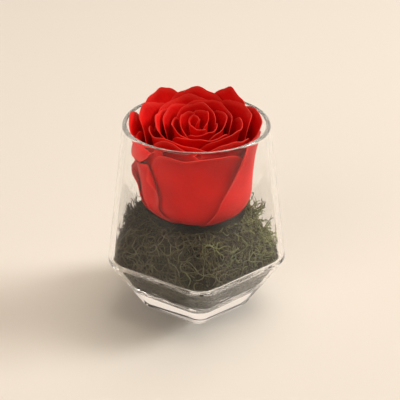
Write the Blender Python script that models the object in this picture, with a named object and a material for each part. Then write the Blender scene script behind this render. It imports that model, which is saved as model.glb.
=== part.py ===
"""Preserved rose head on a bed of curled moss inside a clear five-sided glass vase."""
import math
import random

import bmesh
import bpy
import numpy as np

MM = 0.001

# Vase, millimetres. A level is the distance of the corner circles and their radius.
VASE_HEIGHT = 92.6
RIDGE_HEIGHT = 27.5
BASE_LEVEL = (19.6, 6.0)
RIDGE_LEVEL = (31.5, 11.7)
RIM_RADIUS = 33.2
RIM_WALL = 1.9
INNER_RIDGE_LEVEL = (30.5, 10.0)
INNER_RIDGE_HEIGHT = 28.7
FLOOR_HEIGHT = 9.5
VASE_SIDES = 5
SIDE_TURNS = (0.0, 3.2, 6.4, 9.6, 15.0, 22.0, 29.0, 36.0)

# Bowl of the cavity below the ridge: height, distance of the corner circles and their radius.
BOWL_LEVELS = [(25.2, 28.9, 9.5), (18.0, 25.3, 8.6), (13.4, 23.0, 8.0), (11.3, 21.2, 7.5),
               (10.15, 18.0, 6.9), (9.7, 11.0, 6.0)]

# Moss bed, millimetres.
MOSS_GAP = 0.5
MOSS_SEGMENTS = 30
MOSS_INSET = 1.0
MOSS_STRANDS = 40
STRAND_STEPS = 7
STRAND_RADIUS = 0.8

# Rose head, millimetres.
BLOOM_BASE = 45.8
BLOOM_RADIUS = 24.0
BLOOM_LIMIT = 30.5
CUP_BEND = 18.0
CUP_SQUARE = 2.0 / 2.6
ROOT_RADIUS = 2.5
HEAD_LEAN = 4.2
SPIRAL_PETALS = 16
SPIRAL_START = -27.5
SPIRAL_STEP = 137.5
PETAL_THICKNESS = 0.7
PETAL_COLUMNS = 6
PETAL_ROWS = 6

# Stem stub, millimetres.
STEM_TOP = 45.1
STEM_BOTTOM = 24.0
STEM_RADIUS = 2.4
RECEPTACLE_RADIUS = 4.8


def make_material(name, colour, roughness, metallic=0.0, transmission=0.0):
    material = bpy.data.materials.new(name)
    material.use_nodes = True
    shader = material.node_tree.nodes["Principled BSDF"]
    shader.inputs["Base Color"].default_value = (*colour, 1.0)
    shader.inputs["Roughness"].default_value = roughness
    shader.inputs["Metallic"].default_value = metallic
    shader.inputs["Transmission Weight"].default_value = transmission
    return material


def glass_material():
    return make_material("clear_glass", (0.93, 0.96, 0.95), 0.03, 0.0, 1.0)


def petal_material():
    return make_material("rose_red", (0.55, 0.012, 0.010), 0.55)


def moss_material():
    return make_material("dark_moss", (0.070, 0.080, 0.035), 0.9)


def stem_material():
    return make_material("dry_stem_green", (0.13, 0.17, 0.05), 0.8)


def make_object(name, vertices, faces, material, angle=None):
    mesh = bpy.data.meshes.new(name)
    mesh.from_pydata([tuple(float(c) * MM for c in v) for v in vertices], [], faces)
    mesh.update()
    mesh.materials.append(material)
    obj = bpy.data.objects.new(name, mesh)
    bpy.context.scene.collection.objects.link(obj)
    if angle is not None:
        mesh.shade_smooth()
        mesh.set_sharp_from_angle(angle=math.radians(angle))
    return obj


def keep_main_shell(mesh):
    """Fill closed pockets and drop loose bits: only the largest shell stays."""
    shape = bmesh.new()
    shape.from_mesh(mesh)
    shape.verts.ensure_lookup_table()
    unseen = set(shape.verts)
    shells = []
    while unseen:
        stack = [unseen.pop()]
        shell = list(stack)
        while stack:
            for edge in stack.pop().link_edges:
                for vertex in edge.verts:
                    if vertex in unseen:
                        unseen.discard(vertex)
                        stack.append(vertex)
                        shell.append(vertex)
        shells.append(shell)
    shells.sort(key=len)
    for shell in shells[:-1]:
        bmesh.ops.delete(shape, geom=shell, context="VERTS")
    shape.to_mesh(mesh)
    shape.free()


def fuse(name, core, pieces, angle):
    """Join the pieces and the core in one closed body."""
    group = bpy.data.collections.new(name + "_pieces")
    bpy.context.scene.collection.children.link(group)
    for piece in pieces:
        bpy.context.scene.collection.objects.unlink(piece)
        group.objects.link(piece)
    union = core.modifiers.new("union", "BOOLEAN")
    union.operation = "UNION"
    union.operand_type = "COLLECTION"
    union.collection = group
    union.solver = "MANIFOLD"
    graph = bpy.context.evaluated_depsgraph_get()
    mesh = bpy.data.meshes.new_from_object(core.evaluated_get(graph))
    core.modifiers.clear()
    core.data = mesh
    keep_main_shell(mesh)
    for piece in list(group.objects):
        bpy.data.objects.remove(piece, do_unlink=True)
    bpy.data.collections.remove(group)
    core.name = name
    mesh.shade_smooth()
    mesh.set_sharp_from_angle(angle=math.radians(angle))
    return core


def section_radius(level, angle):
    """Polar radius of a pentagon with round corners, one of them toward -Y."""
    reach, corner = level
    half = math.pi / VASE_SIDES
    turn = (angle + math.pi / 2 + half) % (2 * half) - half
    turn = abs(turn)
    if turn <= math.atan2(corner * math.sin(half), reach + corner * math.cos(half)):
        return reach * math.cos(turn) + math.sqrt(corner ** 2 - (reach * math.sin(turn)) ** 2)
    return (reach * math.cos(half) + corner) / math.cos(half - turn)


def blend(first, second, part):
    return tuple(a + (b - a) * part for a, b in zip(first, second))


def inner_level(z):
    """Level of the cavity wall at a height: ruled above the ridge, a bowl below it."""
    if z >= INNER_RIDGE_HEIGHT:
        part = (z - INNER_RIDGE_HEIGHT) / (VASE_HEIGHT - 1.2 - INNER_RIDGE_HEIGHT)
        return blend(INNER_RIDGE_LEVEL, (0.0, RIM_RADIUS - RIM_WALL), min(1.0, part))
    stops = [level[0] for level in reversed(BOWL_LEVELS)] + [INNER_RIDGE_HEIGHT]
    reach = [level[1] for level in reversed(BOWL_LEVELS)] + [INNER_RIDGE_LEVEL[0]]
    corner = [level[2] for level in reversed(BOWL_LEVELS)] + [INNER_RIDGE_LEVEL[1]]
    return float(np.interp(z, stops, reach)), float(np.interp(z, stops, corner))


def outer_levels():
    """Height, level and inset of each ring on the outside, from the foot up."""
    rings = [(0.0, BASE_LEVEL, 1.2), (0.35, BASE_LEVEL, 0.35)]
    for z in (1.2, 14.0, RIDGE_HEIGHT - 1.2):
        rings.append((z, blend(BASE_LEVEL, RIDGE_LEVEL, z / RIDGE_HEIGHT), 0.0))
    rings.append((RIDGE_HEIGHT, RIDGE_LEVEL, 0.25))
    for z in (RIDGE_HEIGHT + 1.2, 50.0, 72.0, VASE_HEIGHT - 1.0):
        part = (z - RIDGE_HEIGHT) / (VASE_HEIGHT - RIDGE_HEIGHT)
        rings.append((z, blend(RIDGE_LEVEL, (0.0, RIM_RADIUS), part), 0.0))
    return rings


def inner_levels():
    """Rings over the rim and down the cavity to its floor."""
    rim = (0.0, RIM_RADIUS)
    rings = [(VASE_HEIGHT - 0.3, rim, 0.3), (VASE_HEIGHT, rim, RIM_WALL / 2)]
    rings.append((VASE_HEIGHT - 0.3, rim, RIM_WALL - 0.3))
    for z in (VASE_HEIGHT - 1.2, 72.0, 50.0, INNER_RIDGE_HEIGHT + 1.0):
        rings.append((z, inner_level(z), 0.0))
    rings.append((INNER_RIDGE_HEIGHT - 0.5, INNER_RIDGE_LEVEL, 0.3))
    rings += [(z, (reach, corner), 0.0) for z, reach, corner in BOWL_LEVELS]
    return rings


def loft(rings, closed_loop):
    """Faces between like rings; the loop may run round to its first ring."""
    count = len(rings[0])
    faces = []
    last = len(rings) if closed_loop else len(rings) - 1
    for i in range(last):
        low = i * count
        high = (i + 1) % len(rings) * count
        for j in range(count):
            k = (j + 1) % count
            faces.append((low + j, low + k, high + k, high + j))
    return faces


def ring_angles():
    """Directions of the points of one ring, closer together at the corners."""
    turns = [-turn for turn in reversed(SIDE_TURNS[1:-1])] + list(SIDE_TURNS)
    angles = []
    for side in range(VASE_SIDES):
        angles += [math.radians(turn + 72.0 * side - 90.0) for turn in turns]
    return angles


def build_vase():
    angles = ring_angles()
    count = len(angles)
    rings = []
    for z, level, inset in outer_levels() + inner_levels():
        ring = []
        for angle in angles:
            radius = section_radius((level[0], level[1] - inset), angle)
            ring.append((radius * math.cos(angle), radius * math.sin(angle), z))
        rings.append(ring)
    faces = loft(rings, False)
    vertices = [p for ring in rings for p in ring]
    foot = len(vertices)
    vertices += [(0.0, 0.0, 0.0), (0.0, 0.0, FLOOR_HEIGHT)]
    top = (len(rings) - 1) * count
    for j in range(count):
        k = (j + 1) % count
        faces.append((foot, k, j))
        faces.append((foot + 1, top + j, top + k))
    return make_object("vase", vertices, faces, glass_material(), 28)


def swelling(angle, centre, width):
    """Smooth bulge round one direction in degrees, 1 at its centre."""
    turn = (math.degrees(angle) - centre + 180.0) % 360.0 - 180.0
    return math.exp(-(turn / width) ** 2)


def mound_line(angle):
    """Top of the moss at one angle, from beside the rose down to the glass."""
    lump = 0.7 * math.sin(5 * angle + 0.8) + 0.5 * math.sin(9 * angle + 1.8)
    full = 1.6 * swelling(angle, 190.0, 50.0) - 2.8 * swelling(angle, 6.0, 46.0)
    upper = section_radius(inner_level(36.5), angle)
    lower = section_radius(inner_level(31.0), angle)
    return [
        (22.0, 46.4 + 0.4 * lump),
        (26.5 + 0.3 * full, 44.6 + 0.6 * lump + 0.4 * full),
        (31.0 - 0.6 * lump + 0.9 * full, 41.0 + 0.6 * full),
        (upper - 2.6 - 0.5 * lump + full, 36.5),
        (lower - 1.5 - 0.2 * lump + 0.3 * full, 31.0),
    ]


def moss_profile(angle):
    """Radius and height of the moss body round its section at one angle."""
    profile = [(3.2, FLOOR_HEIGHT + 1.2)]
    for z, reach, corner in reversed(BOWL_LEVELS):
        profile.append((section_radius((reach, corner), angle) - MOSS_INSET, z + 0.7))
    profile.append((section_radius(INNER_RIDGE_LEVEL, angle) - 0.7, INNER_RIDGE_HEIGHT))
    profile += reversed(mound_line(angle))
    profile += [(17.0, 45.6), (12.0, 44.7), (5.3, 44.6), (5.3, 40.5), (3.2, 37.0)]
    return profile


def build_moss_core():
    rings = []
    for j in range(MOSS_SEGMENTS):
        angle = 2 * math.pi * j / MOSS_SEGMENTS - math.pi / 2
        ring = []
        for radius, z in moss_profile(angle):
            ring.append((radius * math.cos(angle), radius * math.sin(angle), z))
        rings.append(ring)
    faces = [face[::-1] for face in loft(rings, True)]
    vertices = [p for ring in rings for p in ring]
    return make_object("moss_core", vertices, faces, moss_material())


def cup_height(radius):
    """Height of the underside of the rose head above its lowest point."""
    part = min(1.0, radius / BLOOM_RADIUS)
    return CUP_BEND * (1.0 - (1.0 - part ** 2.6) ** (1.0 / 2.6))


def clear_of_neighbours(point, reach):
    """Shift a strand point off the glass wall and off the rose head."""
    x, y, z = point
    angle = math.atan2(y, x)
    wall = section_radius(inner_level(z), angle) - MOSS_GAP - reach
    radius = max(min(math.hypot(x, y), wall), 7.0)
    if radius < BLOOM_RADIUS + 3.6:
        ceiling = BLOOM_BASE + cup_height(max(radius - 3.6, 0.0)) - 0.75 - reach
        z = min(z, ceiling)
    return radius * math.cos(angle), radius * math.sin(angle), z


def mound_point(slide, angle, lift):
    """Point over the moss surface: slide 0 is by the rose, slide 1 down at the glass."""
    line = mound_line(angle)
    stops = [k / (len(line) - 1.0) for k in range(len(line))]
    reach = np.interp(slide, stops, [point[0] for point in line])
    height = np.interp(slide, stops, [point[1] for point in line])
    slope = math.radians(12.0 + 50.0 * min(1.0, slide * 1.3))
    reach = reach + lift * math.sin(slope)
    height = height + lift * math.cos(slope)
    return np.array([reach * math.cos(angle), reach * math.sin(angle), height])


def strand_path(rnd):
    """Curled path that leaves the moss body, arches over it and dips back."""
    angle = rnd.uniform(0, 2 * math.pi)
    slide = rnd.random()
    heading = rnd.uniform(0, 2 * math.pi)
    length = rnd.uniform(8.0, 13.0)
    sway = rnd.uniform(1.4, 2.6)
    turns = rnd.uniform(0.9, 1.6)
    rise = rnd.uniform(2.8, 4.2)
    path = []
    for k in range(STRAND_STEPS + 1):
        part = k / STRAND_STEPS
        ahead = length * (part - 0.5)
        aside = sway * math.sin(2 * math.pi * turns * part)
        across = ahead * math.cos(heading) - aside * math.sin(heading)
        down = ahead * math.sin(heading) + aside * math.cos(heading)
        lift = -1.3 + rise * math.sin(math.pi * part) ** 0.8
        place = min(1.1, max(-0.1, slide + down / 22.0))
        point = mound_point(place, angle + across / 30.0, lift)
        path.append(clear_of_neighbours(point, STRAND_RADIUS))
    return np.array(path)


def tube(path, radius):
    """Three-sided thread along a path, closed at both ends."""
    tangent = np.gradient(path, axis=0)
    tangent /= np.linalg.norm(tangent, axis=1, keepdims=True) + 1e-9
    side = np.cross(tangent[0], (0.3, 0.2, 0.93))
    vertices = []
    for point, along in zip(path, tangent):
        side = side - along * np.dot(side, along)
        side = side / (np.linalg.norm(side) + 1e-9)
        other = np.cross(along, side)
        for k in range(3):
            turn = 2 * math.pi * k / 3
            vertices.append(point + radius * (side * math.cos(turn) + other * math.sin(turn)))
    faces = []
    for i in range(len(path) - 1):
        for k in range(3):
            a = 3 * i + k
            b = 3 * i + (k + 1) % 3
            faces.append((a, b, b + 3))
            faces.append((a, b + 3, a + 3))
    last = 3 * (len(path) - 1)
    faces.append((2, 1, 0))
    faces.append((last, last + 1, last + 2))
    return vertices, faces


def build_moss():
    rnd = random.Random(11)
    core = build_moss_core()
    strands = []
    for k in range(MOSS_STRANDS):
        vertices, faces = tube(strand_path(rnd), STRAND_RADIUS)
        strands.append(make_object("strand_%d" % k, vertices, faces, core.data.materials[0]))
    return fuse("moss_bed", core, strands, 50)


def petal(azimuth, width, radius, height, **shape):
    """Settings of one petal: where it stands, how wide, how far out and how tall."""
    settings = dict(azimuth=math.radians(azimuth), width=math.radians(width), radius=radius,
                    height=height, flare=3.0, tuck=0.8, curl=2.2, drop=0.45, lip=0.74,
                    side=0.5, rounding=0.18, power=4.0, point=0.02, wave=0.7, phase=1.0,
                    foot=0.0, taper=0.18, narrow=5.0, lean=0.0)
    settings.update(shape)
    return settings


def spiral_petals():
    """Inner petals on one spiral, wider toward the bud."""
    rnd = random.Random(5)
    petals = []
    for k in range(SPIRAL_PETALS):
        part = k / (SPIRAL_PETALS - 1.0)
        radius = 1.7 + 1.3 * k - 0.01 * k * k
        petals.append(petal(
            SPIRAL_START + SPIRAL_STEP * k + rnd.uniform(-7, 7), 66.0 + 90.0 * math.exp(-k / 6.0),
            radius, 47.2 + 1.2 * part + rnd.uniform(-0.4, 0.4), flare=-1.0 + 2.2 * part,
            curl=0.4 + 2.6 * part, wave=0.15 + 0.5 * part, tuck=1.5, lip=0.72,
            side=0.3 * part ** 2, rounding=0.15, power=4.5, lean=1.0 - 0.45 * part,
            phase=rnd.uniform(0.0, 2 * math.pi), foot=0.42 if radius < 16 else 0.0))
    return petals


def outer_petals():
    """Outer petals, placed one by one: round the back, the front, then those lapping over it."""
    return [
        petal(152, 52, 20.4, 49.4, flare=2.6, curl=2.8, rounding=0.18, phase=1.2, lean=0.4),
        petal(28, 54, 20.2, 49.0, flare=2.6, curl=2.8, rounding=0.18, phase=3.2, lean=0.4),
        petal(304, 54, 21.8, 47.0, flare=2.2, curl=3.2, drop=0.3, phase=2.0, tuck=0.4,
              rounding=0.22, power=3.0),
        petal(240, 52, 20.8, 47.0, flare=2.4, curl=3.2, drop=0.4, phase=5.2, tuck=0.4,
              rounding=0.28, power=2.6),
        petal(121, 38, 23.4, 52.0, flare=5.0, curl=2.0, rounding=0.30, point=0.03, phase=2.0),
        petal(53, 36, 23.2, 51.8, flare=5.0, curl=2.0, rounding=0.30, point=0.03, phase=0.3),
        petal(86, 42, 22.6, 51.6, flare=4.0, curl=2.2, rounding=0.24, phase=4.4),
        petal(14, 44, 23.4, 48.6, flare=4.6, curl=1.8, rounding=0.24, point=0.0, phase=4.0),
        petal(170, 38, 23.2, 48.6, flare=5.4, curl=2.4, rounding=0.30, phase=5.0),
        petal(-92, 64, 23.3, 43.6, flare=2.4, curl=3.2, drop=0.8, phase=3.0, tuck=0.3, side=0.2),
        petal(6, 30, 24.6, 43.0, flare=2.6, curl=1.2, phase=2.2, rounding=0.3),
        petal(168, 30, 25.6, 24.0, flare=1.4, curl=2.6, rounding=0.3, phase=0.6),
        petal(205, 34, 22.9, 58.0, flare=3.0, curl=4.6, drop=5.0, lip=0.55, rounding=0.22,
              power=2.5, side=0.2, phase=2.6),
        petal(200, 40, 25.2, 35.5, flare=2.2, curl=1.6, drop=0.4, lip=0.8, tuck=-0.5, side=1.5,
              taper=0.50, narrow=1.3, rounding=0.14, power=3.0, wave=1.7, phase=1.6),
        petal(-26, 70, 25.2, 46.0, flare=2.6, curl=1.6, tuck=-0.6, side=1.2, taper=0.66,
              narrow=1.1, rounding=0.10, phase=0.9),
    ]


def petal_surface(p, columns, rows):
    """Grid of points of the middle face of a petal."""
    u, t = np.meshgrid(np.linspace(-1, 1, columns + 1), np.linspace(0, 1, rows + 1), indexing="ij")
    outline = 1.0 - p["rounding"] * np.abs(u) ** p["power"] + p["point"] * np.exp(-(u / 0.2) ** 2)
    v = (p["foot"] + (1.0 - p["foot"]) * t) * outline
    radius, height = p["radius"], p["height"]
    bend = min(CUP_BEND, 3.0 + 0.6 * radius)
    root = math.asin(min(ROOT_RADIUS / radius, 0.8) ** (1.0 / CUP_SQUARE))
    low = (math.pi / 2 - root) * math.sqrt((radius ** 2 + bend ** 2) / 2)
    high = math.hypot(height - bend, p["flare"])
    along = v * (low + high)
    swing = root + (math.pi / 2 - root) * np.clip(along / low, 0.0, 1.0)
    climb = np.clip((along - low) / high, 0.0, None)
    r = radius * np.sin(swing) ** CUP_SQUARE + p["flare"] * climb
    z = bend * (1.0 - np.abs(np.cos(swing)) ** CUP_SQUARE) + (height - bend) * climb
    lip = np.clip((t - p["lip"]) / (1.0 - p["lip"]), 0.0, 1.0) * (1.0 - 0.7 * np.abs(u) ** 3)
    edge = np.clip((np.abs(u) - 0.6) / 0.4, 0.0, 1.0) * np.clip(v * 1.6 - 0.4, 0.0, 1.0)
    roll = np.sqrt(lip ** 2 + (p["side"] * edge) ** 2)
    r = r + p["curl"] * roll ** 2 + p["tuck"] * u * v ** 0.8
    z = z - p["curl"] * p["drop"] * roll ** 3
    r = r + p["wave"] * np.sin(4.2 * u + p["phase"]) * v ** 3
    z = z + 0.8 * p["wave"] * np.sin(5.3 * u + 1.7 * p["phase"]) * v ** 4
    r = np.maximum(r, 1.0)
    r = BLOOM_LIMIT - 0.7 * np.log1p(np.exp((BLOOM_LIMIT - r) / 0.7))
    angle = p["azimuth"] + p["width"] * u * (1.0 - p["taper"] * t ** p["narrow"])
    z = z + p["lean"] * HEAD_LEAN * np.clip(r / 9.0, 0.0, 1.0) * np.sin(angle) * v ** 2
    return np.stack([r * np.cos(angle), r * np.sin(angle), z + BLOOM_BASE], axis=-1)


def blade(surface, thickness):
    """Closed body of even thickness round a grid, split alike on both faces."""
    normal = np.cross(np.gradient(surface, axis=0), np.gradient(surface, axis=1))
    normal /= np.linalg.norm(normal, axis=-1, keepdims=True)
    front = (surface + normal * thickness / 2).reshape(-1, 3)
    back = (surface - normal * thickness / 2).reshape(-1, 3)
    columns, rows = surface.shape[:2]
    other = columns * rows
    faces = []
    for i in range(columns - 1):
        for j in range(rows - 1):
            a = i * rows + j
            b = a + rows
            faces += [(a, b, b + 1), (a, b + 1, a + 1)]
            faces += [(b + 1 + other, b + other, a + other), (a + 1 + other, b + 1 + other, a + other)]
    rim = [i * rows for i in range(columns)]
    rim += [(columns - 1) * rows + j for j in range(1, rows)]
    rim += [i * rows + rows - 1 for i in range(columns - 2, -1, -1)]
    rim += [j for j in range(rows - 2, 0, -1)]
    for a, b in zip(rim, rim[1:] + rim[:1]):
        faces += [(b, a, a + other), (b, a + other, b + other)]
    return np.concatenate([front, back]), faces


def revolve(name, profile, segments, material):
    """Closed turned body from a list of radius and height, axis points at both ends."""
    rings = []
    for radius, z in profile:
        ring = []
        for j in range(segments):
            angle = 2 * math.pi * j / segments
            ring.append((radius * math.cos(angle), radius * math.sin(angle), z))
        rings.append(ring)
    faces = loft(rings, False)
    vertices = [p for ring in rings for p in ring]
    foot = len(vertices)
    vertices += [(0.0, 0.0, profile[0][1]), (0.0, 0.0, profile[-1][1])]
    top = (len(rings) - 1) * segments
    for j in range(segments):
        k = (j + 1) % segments
        faces.append((foot, k, j))
        faces.append((foot + 1, top + j, top + k))
    return make_object(name, vertices, faces, material)


def build_bloom():
    material = petal_material()
    profile = [(5.6, -0.4), (9.6, 0.9), (15.6, 4.0), (19.0, 9.0), (20.0, 21.0),
               (16.5, 27.0), (11.5, 31.0), (6.0, 36.0), (2.0, 43.0)]
    profile = [(radius, z + BLOOM_BASE) for radius, z in profile]
    core = revolve("bloom_core", profile, 16, material)
    petals = []
    for k, settings in enumerate(spiral_petals() + outer_petals()):
        surface = petal_surface(settings, PETAL_COLUMNS, PETAL_ROWS)
        vertices, faces = blade(surface, PETAL_THICKNESS)
        petals.append(make_object("petal_%d" % k, vertices, faces, material))
    return fuse("rose_bloom", core, petals, 45)


def build_stem():
    profile = [
        (STEM_RADIUS - 0.3, STEM_BOTTOM),
        (STEM_RADIUS, STEM_BOTTOM + 0.4),
        (STEM_RADIUS + 0.2, 37.0),
        (RECEPTACLE_RADIUS - 0.2, 41.0),
        (RECEPTACLE_RADIUS, STEM_TOP - 0.6),
        (RECEPTACLE_RADIUS - 0.4, STEM_TOP),
    ]
    stem = revolve("rose_stem", profile, 20, stem_material())
    stem.data.shade_smooth()
    stem.data.set_sharp_from_angle(angle=math.radians(40))
    return stem


for old in list(bpy.data.objects):
    bpy.data.objects.remove(old, do_unlink=True)

build_vase()
build_moss()
build_bloom()
build_stem()
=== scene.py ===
"""A preserved red rose on curled moss in a clear five-sided glass vase."""
import math
import random

import bpy
import numpy as np
from mathutils import Matrix, Vector


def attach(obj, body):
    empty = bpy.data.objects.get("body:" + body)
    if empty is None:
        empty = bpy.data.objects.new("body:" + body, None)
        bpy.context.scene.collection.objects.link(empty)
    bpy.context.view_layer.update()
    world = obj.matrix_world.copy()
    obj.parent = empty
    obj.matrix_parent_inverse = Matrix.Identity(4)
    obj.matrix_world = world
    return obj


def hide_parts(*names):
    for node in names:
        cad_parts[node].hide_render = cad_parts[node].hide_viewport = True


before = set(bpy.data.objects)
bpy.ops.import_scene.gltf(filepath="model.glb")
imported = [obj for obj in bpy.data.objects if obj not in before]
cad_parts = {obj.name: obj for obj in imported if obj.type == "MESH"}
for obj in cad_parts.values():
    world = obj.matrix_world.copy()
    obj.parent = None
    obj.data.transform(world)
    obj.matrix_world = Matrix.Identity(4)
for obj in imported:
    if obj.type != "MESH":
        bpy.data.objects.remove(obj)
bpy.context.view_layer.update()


# The vase: one body of clear soda glass, pressed in a five-sided mould with a thick solid foot,
# blown up to a round mouth, and fire-polished so that the lip and every edge are softly rounded.
# Sizes are in millimetres up to the studio. A level is a section: (corner centres, corner radius).
VASE_HEIGHT = 92.6
SIDES = 5
BASE_LEVEL = (19.6, 6.0)
RIDGE_HEIGHT = 27.5
RIDGE_LEVEL = (31.5, 11.7)
RIM_RADIUS = 33.2
RIM_LEVEL = (0.0, RIM_RADIUS)
RIM_WALL = 1.9
MOUTH_LEVEL = (0.0, RIM_RADIUS - RIM_WALL)
LIP_DEPTH = 1.2
INNER_RIDGE_HEIGHT = 28.7
INNER_RIDGE_LEVEL = (30.5, 10.0)
FLOOR_HEIGHT = 9.5
# Height, corner centres and corner radius of the cavity, from under its ridge to its floor
BOWL_LEVELS = [(25.2, 28.9, 9.5), (23.2, 27.9, 9.25), (21.2, 26.9, 9.0), (19.2, 25.9, 8.75),
               (17.2, 24.9, 8.5), (15.2, 23.9, 8.25), (13.4, 23.0, 8.0), (12.2, 22.2, 7.8),
               (11.3, 21.2, 7.5), (10.6, 19.8, 7.2), (10.15, 18.0, 6.9), (9.9, 15.5, 6.5),
               (9.7, 11.0, 6.0), (9.55, 4.0, 5.0)]
HOLLOW_HEIGHT = 0.9
HOLLOW_CROWN = 0.2
# Share of the hollow's height and inset from the outline, from the middle of the foot outward
HOLLOW_RINGS = ((1.0, 9.0), (0.92, 5.5), (0.65, 3.4), (0.3, 2.4), (0.05, 1.9), (0.0, 1.4))
FOOT_ROUNDING = 1.2
FOOT_SWELL = 0.2
FACET_HEIGHTS = (1.4, 3.0, 8.0, 14.0, 20.0, 25.0, 26.2)
# Height and inset where the ridge is rounded, on the outside and in the cavity
RIDGE_ROUNDING = ((26.8, 0.06), (27.2, 0.17), (27.5, 0.25), (27.8, 0.21), (28.2, 0.08))
INNER_RIDGE_ROUNDING = ((29.4, 0.02), (28.8, 0.10), (28.2, 0.30), (27.4, 0.62))
WALL_HEIGHTS = (28.8, 32.0, 40.0, 50.0, 60.0, 70.0, 80.0, 87.0, 90.5, 91.3, 91.55)
INNER_WALL_FOOT = 30.2
LIP_STEPS = 12
# Degrees from a corner to the middle of a side, closer together round the corner
CORNER_TURNS = [1.2 * k for k in range(9)] + [11.0 + 1.5625 * k for k in range(17)]
RIPPLE_TOP = 25.0
RIPPLE_FADE = 6.0
CLEAR = (0.985, 0.985, 0.98)
LIP_NEAR = (0.95, 0.95, 0.94)
# Grey painted onto the lip's back and sides as painted shade; LIP_NEAR is its clear front
LIP_PAINTED_SHADE = (0.42, 0.43, 0.41)
LIP_BAND = 1.0
LIP_SLOT = 1
PRESSED_SLOT = 2


def piece_from(name, points, faces, material):
    """A smooth mesh piece from points in millimetres."""
    mesh = bpy.data.meshes.new(name)
    mesh.from_pydata((np.asarray(points) * 0.001).tolist(), [], faces)
    mesh.update()
    mesh.materials.append(material)
    piece = bpy.data.objects.new(name, mesh)
    bpy.context.scene.collection.objects.link(piece)
    mesh.shade_smooth()
    return piece


def section_radius(level, angle):
    """Polar radius of a pentagon with round corners, one of them toward -Y."""
    reach, corner = level
    half = math.pi / SIDES
    turn = abs((angle + math.pi / 2 + half) % (2 * half) - half)
    if turn <= math.atan2(corner * math.sin(half), reach + corner * math.cos(half)):
        return reach * math.cos(turn) + math.sqrt(corner ** 2 - (reach * math.sin(turn)) ** 2)
    return (reach * math.cos(half) + corner) / math.cos(half - turn)


def blend(first, second, part):
    """Section between two others."""
    return tuple(a + (b - a) * part for a, b in zip(first, second))


def outer_level(z):
    """Section of the outside at a height: ruled from foot to ridge, and from ridge to rim."""
    if z < RIDGE_HEIGHT:
        return blend(BASE_LEVEL, RIDGE_LEVEL, z / RIDGE_HEIGHT)
    return blend(RIDGE_LEVEL, RIM_LEVEL, (z - RIDGE_HEIGHT) / (VASE_HEIGHT - RIDGE_HEIGHT))


def inner_level(z):
    """Section of the cavity wall at a height: ruled above the ridge, a bowl below it."""
    if z >= INNER_RIDGE_HEIGHT:
        part = (z - INNER_RIDGE_HEIGHT) / (VASE_HEIGHT - LIP_DEPTH - INNER_RIDGE_HEIGHT)
        return blend(INNER_RIDGE_LEVEL, MOUTH_LEVEL, min(1.0, part))
    stops = [INNER_RIDGE_HEIGHT] + [level[0] for level in BOWL_LEVELS]
    reach = [INNER_RIDGE_LEVEL[0]] + [level[1] for level in BOWL_LEVELS]
    corner = [INNER_RIDGE_LEVEL[1]] + [level[2] for level in BOWL_LEVELS]
    return (float(np.interp(z, stops[::-1], reach[::-1])),
            float(np.interp(z, stops[::-1], corner[::-1])))


def glass_rings():
    """Height, section and inset of each ring: up the outside, over the lip, down the cavity."""
    rings = [(share * HOLLOW_HEIGHT, BASE_LEVEL, inset) for share, inset in HOLLOW_RINGS]
    for turn in (0.25, 0.5, 0.75):
        a = turn * math.pi / 2
        rings.append((FOOT_ROUNDING * (1 - math.cos(a)), BASE_LEVEL,
                      FOOT_ROUNDING * (1 - math.sin(a)) - FOOT_SWELL * turn))
    rings += [(z, outer_level(z), 0.0) for z in FACET_HEIGHTS]
    rings += [(z, outer_level(z), inset) for z, inset in RIDGE_ROUNDING]
    rings += [(z, outer_level(z), 0.0) for z in WALL_HEIGHTS]
    lip = RIM_WALL / 2
    for k in range(1, LIP_STEPS):
        a = math.pi * k / LIP_STEPS
        rings.append((VASE_HEIGHT - lip + lip * math.sin(a), RIM_LEVEL, lip * (1 - math.cos(a))))
    rings += [(z, inner_level(z), 0.0) for z in WALL_HEIGHTS[:0:-1] + (INNER_WALL_FOOT,)]
    rings += [(z, INNER_RIDGE_LEVEL, inset) for z, inset in INNER_RIDGE_ROUNDING]
    rings += [(z, (reach, corner), 0.0) for z, reach, corner in BOWL_LEVELS]
    return rings


def pressed_ripple(z, angle):
    """Slight unevenness that the mould's plunger leaves on the inside of the thick foot."""
    fade = max(0.0, min(1.0, (RIPPLE_TOP - z) / RIPPLE_FADE))
    return fade * (0.10 * math.sin(11 * angle + 0.8 * z) + 0.07 * math.sin(23 * angle - 1.1 * z))


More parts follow.
